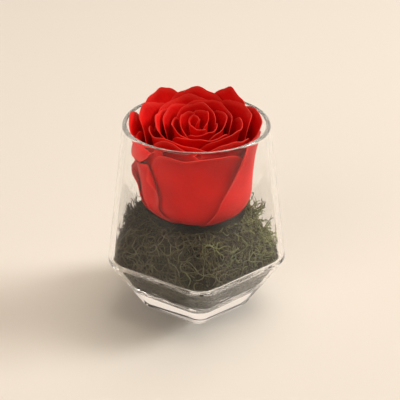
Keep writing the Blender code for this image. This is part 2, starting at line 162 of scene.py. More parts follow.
def clear_glass(name, colour, shine, painted_shade_colour=None, ripple_scale=(35.0, 35.0, 35.0),
                ripple_strength=0.03):
    """Glass that lets shadow rays through; toward the back it may be painted grey as painted shade.
    """
    material = bpy.data.materials.new(name)
    material.use_nodes = True
    nodes = material.node_tree.nodes
    links = material.node_tree.links
    glass = nodes["Principled BSDF"]
    glass.inputs["Base Color"].default_value = (*colour, 1.0)
    place = nodes.new("ShaderNodeTexCoord")
    # Painted shade: toward the back the glass is painted grey instead of clear, for the dark look
    # of the far lip
    if painted_shade_colour:
        parts = nodes.new("ShaderNodeSeparateXYZ")
        links.new(place.outputs["Object"], parts.inputs["Vector"])
        far_side_shade_mask = nodes.new("ShaderNodeMapRange")
        far_side_shade_mask.interpolation_type = "SMOOTHSTEP"
        far_side_shade_mask.inputs["From Min"].default_value = -0.020
        far_side_shade_mask.inputs["From Max"].default_value = -0.004
        links.new(parts.outputs["Y"], far_side_shade_mask.inputs["Value"])
        tint = nodes.new("ShaderNodeMix")
        tint.data_type = "RGBA"
        tint.inputs["A"].default_value = (*colour, 1.0)
        tint.inputs["B"].default_value = (*painted_shade_colour, 1.0)
        links.new(far_side_shade_mask.outputs["Result"], tint.inputs["Factor"])
        links.new(tint.outputs["Result"], glass.inputs["Base Color"])
    glass.inputs["Roughness"].default_value = 0.0
    glass.inputs["IOR"].default_value = 1.5
    glass.inputs["Specular Tint"].default_value = (shine, shine, shine, 1.0)
    glass.inputs["Transmission Weight"].default_value = 1.0
    stretch = nodes.new("ShaderNodeMapping")
    stretch.inputs["Scale"].default_value = ripple_scale
    links.new(place.outputs["Object"], stretch.inputs["Vector"])
    ripple = nodes.new("ShaderNodeTexNoise")
    ripple.inputs["Scale"].default_value = 1.0
    ripple.inputs["Detail"].default_value = 1.0
    links.new(stretch.outputs["Vector"], ripple.inputs["Vector"])
    bump = nodes.new("ShaderNodeBump")
    bump.inputs["Strength"].default_value = ripple_strength
    bump.inputs["Distance"].default_value = 0.0006
    links.new(ripple.outputs["Fac"], bump.inputs["Height"])
    links.new(bump.outputs["Normal"], glass.inputs["Normal"])
    clear = nodes.new("ShaderNodeBsdfTransparent")
    clear.inputs["Color"].default_value = (0.93, 0.94, 0.93, 1.0)
    path = nodes.new("ShaderNodeLightPath")
    mix = nodes.new("ShaderNodeMixShader")
    links.new(path.outputs["Is Shadow Ray"], mix.inputs["Fac"])
    links.new(glass.outputs["BSDF"], mix.inputs[1])
    links.new(clear.outputs["BSDF"], mix.inputs[2])
    links.new(mix.outputs["Shader"], nodes["Material Output"].inputs["Surface"])
    return material


turns = [-turn for turn in reversed(CORNER_TURNS[1:-1])] + CORNER_TURNS
directions = [math.radians(turn + 360.0 / SIDES * side - 90.0)
              for side in range(SIDES) for turn in turns]
around = len(directions)
vase_rings = glass_rings()
first_bowl_ring = len(vase_rings) - len(BOWL_LEVELS)
vase_points = []
for i, (z, level, inset) in enumerate(vase_rings):
    for angle in directions:
        radius = section_radius((level[0], level[1] - inset), angle)
        if i >= first_bowl_ring:
            radius += pressed_ripple(z, angle)
        vase_points.append((radius * math.cos(angle), radius * math.sin(angle), z))
vase_faces = []
for i in range(len(vase_rings) - 1):
    ring = i * around
    above = ring + around
    for j in range(around):
        k = (j + 1) % around
        vase_faces.append((ring + j, ring + k, above + k, above + j))
foot_centre = len(vase_points)
floor_centre = foot_centre + 1
last_ring = foot_centre - around
vase_points += [(0.0, 0.0, HOLLOW_HEIGHT + HOLLOW_CROWN), (0.0, 0.0, FLOOR_HEIGHT)]
for j in range(around):
    k = (j + 1) % around
    vase_faces.append((foot_centre, k, j))
    vase_faces.append((floor_centre, last_ring + j, last_ring + k))
vase_glass = piece_from("vase_glass", vase_points, vase_faces,
                        clear_glass("clear_glass_polished", CLEAR, 0.30))
# The lip's back and sides are painted grey as painted shade, and its front is left clear
vase_glass.data.materials.append(
    clear_glass("clear_glass_lip", LIP_NEAR, 1.0, painted_shade_colour=LIP_PAINTED_SHADE))
vase_glass.data.materials.append(
    clear_glass("clear_glass_pressed", CLEAR, 1.0, ripple_scale=(45.0, 45.0, 380.0),
                ripple_strength=0.35))
for face in vase_glass.data.polygons:
    if min(vase_points[v][2] for v in face.vertices) > VASE_HEIGHT - LIP_BAND:
        face.material_index = LIP_SLOT
    elif min(face.vertices) >= around * (first_bowl_ring - 1):
        face.material_index = PRESSED_SLOT
vase_glass.data.set_sharp_from_angle(angle=math.radians(50))
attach(vase_glass, "root")
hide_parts("vase")


# The imported moss: preserved moss, dyed dark green, pressed by hand down to the cavity's floor
# and heaped up round the rose. A dense mass, painted nearly black as painted shade of the moss's
# depths under the threads, with a plain hole down its middle, into which the rose's stub is pushed.
MOSS_SEGMENTS = 90
STUB_HOLE = 3.2
RECEPTACLE_HOLE = 5.3
# Radius and height of the mound's line beside the rose, before its lumps
MOUND_CREST = (22.0, 46.4)
MOUND_SHOULDER = (26.5, 44.6)
MOUND_BROW = (31.0, 41.0)
GLASS_LINE_TOP = 36.5
GLASS_LINE_FOOT = 31.0
BOWL_HEIGHTS = (27.5, 24.0, 20.0, 16.5)
THREADS_TO_GLASS = 1.2
PACKED_FOOT = 9.0
PACKED_TO_GLASS = 1.4
PACKED_ABOVE_FLOOR = 0.5
PACKED_UNDER_THREADS = 0.5
# Height and gap to the cavity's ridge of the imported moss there
PACKED_AT_RIDGE = ((26.6, 1.3), (28.3, 1.0))
# Radius and height of the shallow dish that the rose head sits over
DISH = [(17.0, 45.3), (12.0, 44.5)]
# Place of each point of the mound's line: 0 by the rose, 1 at the glass, more down the bowl
MOUND_STOPS = (0.0, 0.25, 0.5, 0.75, 1.0, 1.16, 1.34, 1.54, 1.74)
CRUMPLED_ROWS = range(15, 25)


def bump_at(angle, centre, width):
    """Smooth swelling round one direction, 1 at its centre."""
    turn = math.radians((math.degrees(angle) - centre + 180.0) % 360.0 - 180.0)
    return math.exp(-(turn / math.radians(width)) ** 2)


def mound_line(angle):
    """Top of the moss at one angle: from beside the rose down to the glass and down the bowl."""
    lump = 0.7 * math.sin(5 * angle + 0.8) + 0.5 * math.sin(9 * angle + 1.8)
    full = 1.6 * bump_at(angle, 190.0, 50.0) - 2.8 * bump_at(angle, 6.0, 46.0)
    upper = section_radius(inner_level(GLASS_LINE_TOP), angle)
    lower = section_radius(inner_level(GLASS_LINE_FOOT), angle)
    line = [
        (MOUND_CREST[0], MOUND_CREST[1] + 0.4 * lump),
        (MOUND_SHOULDER[0] + 0.3 * full, MOUND_SHOULDER[1] + 0.6 * lump + 0.4 * full),
        (MOUND_BROW[0] - 0.6 * lump + 0.9 * full, MOUND_BROW[1] + 0.6 * full),
        (upper - 2.6 - 0.5 * lump + full, GLASS_LINE_TOP),
        (lower - 1.5 - 0.2 * lump + 0.3 * full, GLASS_LINE_FOOT),
    ]
    for z in BOWL_HEIGHTS:
        line.append((section_radius(inner_level(z), angle) - THREADS_TO_GLASS, z))
    return line


def mound_point(slide, angle, lift):
    """Point over the moss surface, at a place on the mound's line and an angle round it."""
    line = mound_line(angle)
    reach = np.interp(slide, MOUND_STOPS, [point[0] for point in line])
    height = np.interp(slide, MOUND_STOPS, [point[1] for point in line])
    steepness = 12.0 + 50.0 * max(0.0, min(1.0, slide * 1.3))
    steepness += 50.0 * min(1.0, max(0.0, slide - 1.0) * 3.0)
    slope = math.radians(steepness)
    reach = reach + lift * math.sin(slope)
    height = height + lift * math.cos(slope)
    return np.array([reach * math.cos(angle), reach * math.sin(angle), height])


def moss_profile(angle):
    """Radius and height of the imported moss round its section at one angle."""
    profile = [(STUB_HOLE, PACKED_FOOT)]
    for z, reach, corner in reversed(BOWL_LEVELS):
        profile.append((section_radius((reach, corner), angle) - PACKED_TO_GLASS,
                        z + PACKED_ABOVE_FLOOR))
    ridge = section_radius(INNER_RIDGE_LEVEL, angle)
    profile += [(ridge - gap, z) for z, gap in PACKED_AT_RIDGE]
    for tenth in range(10, -1, -1):
        point = mound_point(tenth / 10.0, angle, -PACKED_UNDER_THREADS)
        profile.append((math.hypot(point[0], point[1]), point[2]))
    return profile + DISH + [(RECEPTACLE_HOLE, 44.3), (RECEPTACLE_HOLE, 40.5), (STUB_HOLE, 37.0)]


def moss_shade(name, dark, pale, scale, rough):
    """Matte dyed moss: mottled between two tones, with a fine crumbly bump."""
    material = bpy.data.materials.new(name)
    material.use_nodes = True
    nodes = material.node_tree.nodes
    links = material.node_tree.links
    shader = nodes["Principled BSDF"]
    place = nodes.new("ShaderNodeTexCoord")
    patches = nodes.new("ShaderNodeTexNoise")
    patches.inputs["Scale"].default_value = scale
    patches.inputs["Detail"].default_value = 5.0
    links.new(place.outputs["Object"], patches.inputs["Vector"])
    ramp = nodes.new("ShaderNodeValToRGB")
    ramp.color_ramp.elements[0].position = 0.35
    ramp.color_ramp.elements[0].color = (*dark, 1.0)
    ramp.color_ramp.elements[1].position = 0.68
    ramp.color_ramp.elements[1].color = (*pale, 1.0)
    links.new(patches.outputs["Fac"], ramp.inputs["Fac"])
    links.new(ramp.outputs["Color"], shader.inputs["Base Color"])
    crumbs = nodes.new("ShaderNodeTexNoise")
    crumbs.inputs["Scale"].default_value = 900.0
    crumbs.inputs["Detail"].default_value = 4.0
    links.new(place.outputs["Object"], crumbs.inputs["Vector"])
    bump = nodes.new("ShaderNodeBump")
    bump.inputs["Strength"].default_value = 0.7
    bump.inputs["Distance"].default_value = 0.0004
    links.new(crumbs.outputs["Fac"], bump.inputs["Height"])
    links.new(bump.outputs["Normal"], shader.inputs["Normal"])
    shader.inputs["Roughness"].default_value = rough
    return material


def crumple(point):
    """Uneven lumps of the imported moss, from crossed waves."""
    x, y, z = point
    return (0.35 * math.sin(0.9 * x + 1.3 * z) * math.cos(1.1 * y - 0.7 * z)
            + 0.22 * math.sin(2.1 * x - 1.7 * y + 0.6 * z) * math.cos(1.9 * z + 0.8 * x))


packed_points = []
for j in range(MOSS_SEGMENTS):
    angle = 2 * math.pi * j / MOSS_SEGMENTS - math.pi / 2
    for row, (radius, z) in enumerate(moss_profile(angle)):
        point = (radius * math.cos(angle), radius * math.sin(angle), z)
        if row in CRUMPLED_ROWS:
            radius += crumple(point)
            z += 0.8 * crumple((point[1], point[2], point[0]))
        packed_points.append((radius * math.cos(angle), radius * math.sin(angle), z))
packed_rows = len(packed_points) // MOSS_SEGMENTS
packed_faces = []
for j in range(MOSS_SEGMENTS):
    here = j * packed_rows
    after = (j + 1) % MOSS_SEGMENTS * packed_rows
    for i in range(packed_rows):
        k = (i + 1) % packed_rows
        packed_faces.append((here + k, after + k, after + i, here + i))
# Painted shade: the mass is nearly black, darker than any thread, for the shade deep in the moss
packed_moss = piece_from(
    "moss_packed", packed_points, packed_faces,
    moss_shade("moss_shadow_olive", (0.012, 0.009, 0.004), (0.030, 0.024, 0.010), 260.0, 0.95))
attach(packed_moss, "root")
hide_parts("moss_bed")


# The moss threads: the same moss where it isn't pressed flat, a felt of curling branched stems
# less than a millimetre thick. They lie over the imported mass and against the glass, in four
# tones; the greenest are painted bright on the right, as painted light where the key light falls.
BLOOM_BASE = 45.8
BLOOM_RADIUS = 24.0
CUP_BEND = 18.0
CUP_POWER = 2.6
BLOOM_CLEARANCE = 0.55
BLOOM_SPREAD = 3.0
BLOOM_SHADOW = 3.6
GLASS_CLEARANCE = 0.3
FLOOR_CLEARANCE = 3.0
INNERMOST_THREAD = 5.0
THREAD_ROOT = 0.8
SLOW_CURL = 0.42
QUICK_CURL = 0.34
LOOSE_SHARE = 0.3
LIFT_AT_GLASS = 0.9
MOUND_LENGTH = 22.0
MOUND_REACH = 30.0


def cup_height(radius):
    """Height of the underside of the rose head above its lowest point."""
    part = min(1.0, radius / BLOOM_RADIUS)
    return CUP_BEND * (1.0 - (1.0 - part ** CUP_POWER) ** (1.0 / CUP_POWER))


def clear_of_neighbours(point, reach):
    """Shift a thread's point off the glass wall and off the rose head."""
    x, y, z = point
    z = max(z, FLOOR_HEIGHT + FLOOR_CLEARANCE)
    angle = math.atan2(y, x)
    radius = math.hypot(x, y)
    wall = section_radius(inner_level(z), angle) - GLASS_CLEARANCE - reach
    radius = max(min(radius, wall), INNERMOST_THREAD)
    if radius < BLOOM_RADIUS + BLOOM_SHADOW:
        underside = BLOOM_BASE + cup_height(max(radius - BLOOM_SPREAD, 0.0))
        z = min(z, underside - BLOOM_CLEARANCE - reach)
    return radius * math.cos(angle), radius * math.sin(angle), z


def thread_path(rnd, steps, reach, longest, lift_most, slide_range, side=None):
    """Meandering path of one moss thread, out of the mass and back or left standing."""
    angle = rnd.uniform(0, 2 * math.pi) if side is None else rnd.gauss(side[0], side[1])
    slide = rnd.uniform(*slide_range)
    length = rnd.uniform(0.45, 1.0) * longest
    stride = length / steps
    rise = rnd.uniform(0.2, 1.0) * lift_most
    loose = rnd.random() < LOOSE_SHARE
    way = rnd.uniform(0, 2 * math.pi)
    slow_rate = rnd.uniform(0.25, 0.62)
    slow_start = rnd.uniform(0, 6.28)
    quick_rate = rnd.uniform(0.9, 1.5)
    quick_start = rnd.uniform(0, 6.28)
    lean = rnd.uniform(-0.16, 0.16)
    across = down = 0.0
    path = []
    for k in range(steps + 1):
        gone = k * stride
        bend = (SLOW_CURL * math.sin(slow_rate * gone + slow_start)
                + QUICK_CURL * math.sin(quick_rate * gone + quick_start))
        way += (bend + lean) * stride
        across += stride * math.cos(way)
        down += stride * math.sin(way)
        arch = math.sin(math.pi * (k / steps) * (0.55 if loose else 1.0)) ** 0.7
        lift = -THREAD_ROOT + (rise + THREAD_ROOT) * arch
        lift += 0.35 * math.sin(1.3 * gone + slow_start)
        place = min(MOUND_STOPS[-1], max(-0.1, slide + down / MOUND_LENGTH))
        if place > 1.0:
            lift = min(lift, LIFT_AT_GLASS)
        point = mound_point(place, angle + across / MOUND_REACH, lift)
        path.append(clear_of_neighbours(point, reach))
    return np.array(path)


def thread_skin(path, radius, sides=3):
    """Thin three-sided skin along a path, thinning toward its far end."""
    tangent = np.gradient(path, axis=0)
    tangent /= np.linalg.norm(tangent, axis=1, keepdims=True) + 1e-9
    side = np.cross(tangent[0], (0.3, 0.2, 0.93))
    points = []
    for i, (point, along) in enumerate(zip(path, tangent)):
        side = side - along * np.dot(side, along)
        side = side / (np.linalg.norm(side) + 1e-9)
        other = np.cross(along, side)
        width = radius * (1.0 - 0.55 * (i / (len(path) - 1.0)) ** 2)
        for k in range(sides):
            turn = 2 * math.pi * k / sides
            points.append(point + width * (side * math.cos(turn) + other * math.sin(turn)))
    faces = []
    for i in range(len(path) - 1):
        for k in range(sides):
            a = sides * i + k
            b = sides * i + (k + 1) % sides
            faces.append((a, b, b + sides, a + sides))
    last = sides * (len(path) - 1)
    faces.append(tuple(range(sides - 1, -1, -1)))
    faces.append(tuple(last + k for k in range(sides)))
    return points, faces


def moss_piece(name, strands, material):
    """One piece from many strands, each a path and its radius."""
    points = []
    faces = []
    for path, radius in strands:
        skin, sides = thread_skin(path, radius)
        base = len(points)
        points += skin
        faces += [tuple(v + base for v in face) for face in sides]
    piece = piece_from(name, points, faces, material)
    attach(piece, "root")
    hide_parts("moss_bed")


def moss_threads(count, seed, radius, **ways):
    """Many curling threads of about one thickness."""
    rnd = random.Random(seed)
    return [(thread_path(rnd, reach=radius, **ways), radius * rnd.uniform(0.7, 1.1))
            for _ in range(count)]


moss_piece("moss_threads_dark",
           moss_threads(520, 3, 0.38, steps=18, longest=18.0, lift_most=1.4,
                        slide_range=(-0.05, 1.7)),
           moss_shade("moss_dark_olive", (0.024, 0.019, 0.006), (0.058, 0.047, 0.015), 120.0, 0.9))
moss_piece("moss_threads_olive",
           moss_threads(430, 7, 0.33, steps=24, longest=24.0, lift_most=2.4,
                        slide_range=(0.0, 1.7)),
           moss_shade("moss_olive", (0.058, 0.048, 0.016), (0.115, 0.096, 0.034), 120.0, 0.88))
moss_piece("moss_threads_pale",
           moss_threads(170, 4, 0.23, steps=28, longest=24.0, lift_most=2.6,
                        slide_range=(0.6, 1.7)),
           moss_shade("moss_pale_olive", (0.10, 0.090, 0.042), (0.21, 0.190, 0.100), 90.0, 0.85))
# Painted light: a bright green for the threads and tips on the right, the side the key light falls
# on
green = moss_shade("moss_green_painted_light", (0.100, 0.108, 0.036), (0.260, 0.270, 0.105), 90.0, 0.88)
moss_piece("moss_threads_green",
           moss_threads(240, 5, 0.28, steps=18, longest=14.0, lift_most=2.4,
                        slide_range=(0.0, 1.2), side=(0.0, 0.70)), green)


# The loose tips: ends of the same moss that stand free of the mound on the left and the right,
# each a curled stalk with short branches, painted bright green on the right as painted light and
# dark brown olive on the left as painted shade. They are held by nothing but the moss they grow
# from.
STALK_STEPS = 8
BRANCH_STEPS = 6
BRANCH_NODES = range(3, STALK_STEPS + 1)
TIP_REACH = 0.25


def twig(rnd, start, way, length, steps):
    """Short path that curls from a start along a way."""
    turn = np.array([rnd.uniform(-1, 1) for _ in range(3)])
    turn = turn / (np.linalg.norm(turn) + 0.01) * rnd.uniform(0.5, 1.6)
    path = [start]
    for _ in range(steps):
        way = way + turn * (0.8 / steps) + np.array([rnd.uniform(-0.12, 0.12) for _ in range(3)])
        way = way / np.linalg.norm(way)
        path.append(path[-1] + way * length / steps)
    return np.array([clear_of_neighbours(point, TIP_REACH) for point in path]), way


def moss_sprigs(count, seed, radius, centre, spread, slides, tall):
    """Loose branching tips that stand out of the mound on one side."""
    rnd = random.Random(seed)
    strands = []
    for _ in range(count):
        angle = rnd.gauss(centre, spread)
        slide = rnd.uniform(*slides)
        start = mound_point(slide, angle, -0.6)
        way = mound_point(slide, angle, 2.0) - start
        way = way + np.array([rnd.uniform(-1.8, 1.8) for _ in range(3)])
        way = way / np.linalg.norm(way)
        stalk, end = twig(rnd, start, way, tall * rnd.uniform(0.5, 1.0), STALK_STEPS)
        strands.append((stalk, radius))
        for k in BRANCH_NODES:
            lean = end + np.array([rnd.uniform(-1.3, 1.3) for _ in range(3)])
            lean = lean / np.linalg.norm(lean)
            branch, _ = twig(rnd, stalk[k], lean, rnd.uniform(1.5, 4.0), BRANCH_STEPS)
            strands.append((branch, 0.8 * radius))
    return strands


moss_piece("moss_sprigs_right",
           moss_sprigs(55, 8, 0.30, 0.05, 0.50, (0.05, 1.0), 12.0), green)
# Painted shade: the tips on the left, away from the key light, are a dark brown olive
moss_piece("moss_sprigs_left",
           moss_sprigs(80, 9, 0.27, math.radians(175), 0.60, (0.05, 0.8), 8.0),
           moss_shade("moss_brown_olive_painted_shade", (0.030, 0.026, 0.010), (0.080, 0.068, 0.028), 120.0, 0.9))


# The stem: the rose head's own green receptacle and the short stub it was cut to, dried and
# pushed into a hole in the moss. It carries the head and can't be seen from outside.
stem = bpy.data.objects["rose_stem"]
stem_skin = moss_shade("stem_dry_green", (0.075, 0.100, 0.030), (0.160, 0.180, 0.070), 300.0, 0.75)
stem.data.materials.clear()
stem.data.materials.append(stem_skin)


# The petals: those of one large real rose, dehydrated and refilled with glycerine and red dye,
# so that they stay soft. The inner ones are wound into a tight bud on one spiral, and the outer
# ones stand round them, roll outward at the lip and lap over one another.
BLOOM_LIMIT = 30.5
CUP_SQUARE = 2.0 / CUP_POWER
ROOT_RADIUS = 2.5
HEAD_LEAN = 4.2
LEAN_RADIUS = 9.0
PETAL_COLUMNS = 34
PETAL_ROWS = 30
PETAL_HALF_THICKNESS = 0.30
LIP_THINNING = 0.14
SPIRAL_PETALS = 16
SPIRAL_START = -27.5
SPIRAL_STEP = 137.5
BUD_RADIUS = 1.7
HEART_PETALS = 9


def petal(azimuth, width, radius, height, **shape):
    """Settings of one petal: where it stands, how wide, how far out and how tall.

    flare leans the wall out. curl, drop and lip say how far the lip rolls out and falls, and
    where that begins, and side does the same to the side edges. tuck passes one side over its
    neighbour and the other under. rounding, power and point shape the top; wave, phase and
    ruffle make it uneven. foot is left off below, taper and narrow draw the top in, and lean
    is the petal's share of the head's lean to the front.
    """
    settings = dict(azimuth=math.radians(azimuth), width=math.radians(width), radius=radius,
                    height=height, flare=3.0, curl=2.2, drop=0.45, lip=0.74, side=0.5, tuck=0.8,
                    rounding=0.18, power=4.0, point=0.02, wave=0.7, phase=1.0, ruffle=0.012,
                    foot=0.0, taper=0.18, narrow=5.0, lean=0.0)
    settings.update(shape)
    return settings


def spiral_petals():
    """Inner petals on one spiral, each 137.5 degrees on from the last, wider toward the bud."""
    rnd = random.Random(5)
    petals = []
    for k in range(SPIRAL_PETALS):
        part = k / (SPIRAL_PETALS - 1.0)
        radius = BUD_RADIUS + 1.3 * k - 0.01 * k * k
        petals.append(petal(
            SPIRAL_START + SPIRAL_STEP * k + rnd.uniform(-7, 7), 66.0 + 90.0 * math.exp(-k / 6.0),
            radius, 47.2 + 1.2 * part + rnd.uniform(-0.4, 0.4), flare=-1.0 + 2.2 * part,
            curl=0.4 + 2.6 * part, wave=0.15 + 0.5 * part, tuck=1.5, lip=0.72,
            side=0.3 * part ** 2, rounding=0.15, power=4.5, lean=1.0 - 0.45 * part,
            phase=rnd.uniform(0.0, 2 * math.pi), foot=0.42 if radius < 16 else 0.0))
    return petals


def outer_petals():
    """Outer petals, placed one by one: round the back, the front, then those lapping over it."""
    return [
        petal(152, 52, 20.4, 49.4, flare=2.6, curl=2.8, rounding=0.18, phase=1.2, lean=0.4),
        petal(28, 54, 20.2, 49.0, flare=2.6, curl=2.8, rounding=0.18, phase=3.2, lean=0.4),
        petal(304, 54, 21.8, 47.0, flare=2.2, curl=3.2, drop=0.3, phase=2.0, tuck=0.4,
              rounding=0.22, power=3.0),
        petal(240, 52, 20.8, 47.0, flare=2.4, curl=3.2, drop=0.4, phase=5.2, tuck=0.4,
              rounding=0.28, power=2.6),
        petal(121, 38, 23.4, 52.0, flare=5.0, curl=2.0, rounding=0.30, point=0.03, phase=2.0),
        petal(53, 36, 23.2, 51.8, flare=5.0, curl=2.0, rounding=0.30, point=0.03, phase=0.3),
        petal(86, 42, 22.6, 51.6, flare=4.0, curl=2.2, rounding=0.24, phase=4.4),
        petal(14, 44, 23.4, 48.6, flare=4.6, curl=1.8, rounding=0.24, point=0.0, phase=4.0),
        petal(170, 38, 23.2, 48.6, flare=5.4, curl=2.4, rounding=0.30, phase=5.0),
        petal(-92, 64, 23.3, 43.6, flare=2.4, curl=3.2, drop=0.8, phase=3.0, tuck=0.3, side=0.2),
        petal(6, 30, 24.6, 43.0, flare=2.6, curl=1.2, phase=2.2, rounding=0.3),
        petal(168, 30, 25.6, 24.0, flare=1.4, curl=2.6, rounding=0.3, phase=0.6),
        petal(205, 34, 22.9, 58.0, flare=3.0, curl=4.6, drop=5.0, lip=0.55, rounding=0.22,
              power=2.5, side=0.2, phase=2.6),
        petal(200, 40, 25.2, 35.5, flare=2.2, curl=1.6, drop=0.4, lip=0.8, tuck=-0.5, side=1.5,
              taper=0.50, narrow=1.3, rounding=0.14, power=3.0, wave=1.7, phase=1.6,
              ruffle=0.10),
        petal(-26, 70, 25.2, 46.0, flare=2.6, curl=1.6, tuck=-0.6, side=1.2, taper=0.66,
              narrow=1.1, rounding=0.10, phase=0.9),
    ]


def petal_surface(p, columns, rows):
    """Grid of points of the middle of a petal, and how near each one is to its lip."""
    u, t = np.meshgrid(np.linspace(-1, 1, columns + 1), np.linspace(0, 1, rows + 1), indexing="ij")
    nicks = 0.003 * np.sin(9.0 * u + 2.0 * p["phase"]) + 0.0015 * np.sin(19.0 * u + p["phase"])
    outline = 1.0 - p["rounding"] * np.abs(u) ** p["power"]
    outline = outline + p["point"] * np.exp(-(u / 0.2) ** 2) + nicks
    v = (p["foot"] + (1.0 - p["foot"]) * t) * outline
    radius, height = p["radius"], p["height"]
    bend = min(CUP_BEND, 3.0 + 0.6 * radius)
    root = math.asin(min(ROOT_RADIUS / radius, 0.8) ** (1.0 / CUP_SQUARE))
    low = (math.pi / 2 - root) * math.sqrt((radius ** 2 + bend ** 2) / 2)
    high = math.hypot(height - bend, p["flare"])
    along = v * (low + high)
    swing = root + (math.pi / 2 - root) * np.clip(along / low, 0.0, 1.0)
    climb = np.clip((along - low) / high, 0.0, None)
    r = radius * np.sin(swing) ** CUP_SQUARE + p["flare"] * climb
    z = bend * (1.0 - np.abs(np.cos(swing)) ** CUP_SQUARE) + (height - bend) * climb
    lip = np.clip((t - p["lip"]) / (1.0 - p["lip"]), 0.0, 1.0) * (1.0 - 0.7 * np.abs(u) ** 3)
    edge = np.clip((np.abs(u) - 0.6) / 0.4, 0.0, 1.0) * np.clip(v * 1.6 - 0.4, 0.0, 1.0)
    roll = np.sqrt(lip ** 2 + (p["side"] * edge) ** 2)
    r = r + p["curl"] * roll ** 2 + p["tuck"] * u * v ** 0.8
    z = z - p["curl"] * p["drop"] * roll ** 3
    r = r + p["wave"] * np.sin(4.2 * u + p["phase"]) * v ** 3
    z = z + 0.8 * p["wave"] * np.sin(5.3 * u + 1.7 * p["phase"]) * v ** 4
    r = r + 0.10 * p["wave"] * np.sin(9.0 * u + 3.0 * p["phase"]) * v ** 6
    r = np.maximum(r, 1.0)
    r = BLOOM_LIMIT - 0.7 * np.log1p(np.exp((BLOOM_LIMIT - r) / 0.7))
    angle = p["azimuth"] + p["width"] * u * (1.0 - p["taper"] * t ** p["narrow"])
    angle = angle + p["ruffle"] * u * np.abs(u) * np.sin(13.0 * t + 2.0 * p["phase"]) * v
    z = z + p["lean"] * HEAD_LEAN * np.clip(r / LEAN_RADIUS, 0.0, 1.0) * np.sin(angle) * v ** 2
    near = np.maximum(t, np.abs(u)) * np.clip(v * 3.0, 0.0, 1.0)
    return np.stack([r * np.cos(angle), r * np.sin(angle), z + BLOOM_BASE], axis=-1), near


def petal_body(surface, near):
    """Closed thin body round a petal's grid, thinning toward the lip."""
    normal = np.cross(np.gradient(surface, axis=0), np.gradient(surface, axis=1))
    normal /= np.linalg.norm(normal, axis=-1, keepdims=True)
    half = (PETAL_HALF_THICKNESS - LIP_THINNING * near ** 3)[..., None]
    front = (surface + normal * half).reshape(-1, 3)
    back = (surface - normal * half).reshape(-1, 3)
    columns, rows = surface.shape[:2]
    other = columns * rows
    faces = []
    for i in range(columns - 1):
        for j in range(rows - 1):
            a = i * rows + j
            b = a + rows
            faces.append((a, b, b + 1, a + 1))
            faces.append((a + 1 + other, b + 1 + other, b + other, a + other))
    rim = [i * rows for i in range(columns)]
    rim += [(columns - 1) * rows + j for j in range(1, rows)]
    rim += [i * rows + rows - 1 for i in range(columns - 2, -1, -1)]
    rim += list(range(rows - 2, 0, -1))
    for a, b in zip(rim, rim[1:] + rim[:1]):
        faces.append((b, a, a + other, b + other))
    return np.concatenate([front, back]), faces


def petal_velvet():
    """Dyed petal: deep red in soft clouds, lighter right at the lip as a painted highlight, faint
    veins.
    """
    material = bpy.data.materials.new("petal_velvet_red")
    material.use_nodes = True
    nodes = material.node_tree.nodes
    links = material.node_tree.links
    shader = nodes["Principled BSDF"]
    place = nodes.new("ShaderNodeTexCoord")
    clouds = nodes.new("ShaderNodeTexNoise")
    clouds.inputs["Scale"].default_value = 48.0
    clouds.inputs["Detail"].default_value = 4.0
    links.new(place.outputs["Object"], clouds.inputs["Vector"])
    tone = nodes.new("ShaderNodeValToRGB")
    tone.color_ramp.elements[0].position = 0.3
    tone.color_ramp.elements[0].color = (0.52, 0.003, 0.003, 1.0)
    tone.color_ramp.elements[1].position = 0.75
    tone.color_ramp.elements[1].color = (0.87, 0.010, 0.008, 1.0)
    links.new(clouds.outputs["Fac"], tone.inputs["Fac"])
    # Painted highlight: right at the lip the red turns lighter and pinker, for the light the rolled
    # edges catch
    lip = nodes.new("ShaderNodeAttribute")
    lip.attribute_name = "lip"
    lip_highlight_mask = nodes.new("ShaderNodeMapRange")
    lip_highlight_mask.inputs["From Min"].default_value = 0.95
    lip_highlight_mask.inputs["From Max"].default_value = 1.0
    lip_highlight_mask.inputs["To Max"].default_value = 0.45
    links.new(lip.outputs["Fac"], lip_highlight_mask.inputs["Value"])
    paler = nodes.new("ShaderNodeMix")
    paler.data_type = "RGBA"
    paler.inputs["B"].default_value = (0.90, 0.07, 0.05, 1.0)
    links.new(lip_highlight_mask.outputs["Result"], paler.inputs["Factor"])
    links.new(tone.outputs["Color"], paler.inputs["A"])
    links.new(paler.outputs["Result"], shader.inputs["Base Color"])
    veins = nodes.new("ShaderNodeTexWave")
    veins.wave_type = "BANDS"
    veins.bands_direction = "DIAGONAL"
    veins.inputs["Scale"].default_value = 160.0
    veins.inputs["Distortion"].default_value = 9.0
    veins.inputs["Detail"].default_value = 3.0
    links.new(place.outputs["Object"], veins.inputs["Vector"])
    bump = nodes.new("ShaderNodeBump")
    bump.inputs["Strength"].default_value = 0.08
    bump.inputs["Distance"].default_value = 0.0003
    links.new(veins.outputs["Fac"], bump.inputs["Height"])
    links.new(bump.outputs["Normal"], shader.inputs["Normal"])
    shader.inputs["Roughness"].default_value = 0.48
    shader.inputs["Specular IOR Level"].default_value = 0.15
    shader.inputs["Specular Tint"].default_value = (0.9, 0.16, 0.12, 1.0)
    shader.inputs["Subsurface Weight"].default_value = 0.05
    shader.inputs["Subsurface Radius"].default_value = (0.004, 0.0006, 0.0004)
    shader.inputs["Subsurface Scale"].default_value = 1.0
    return material


velvet = petal_velvet()


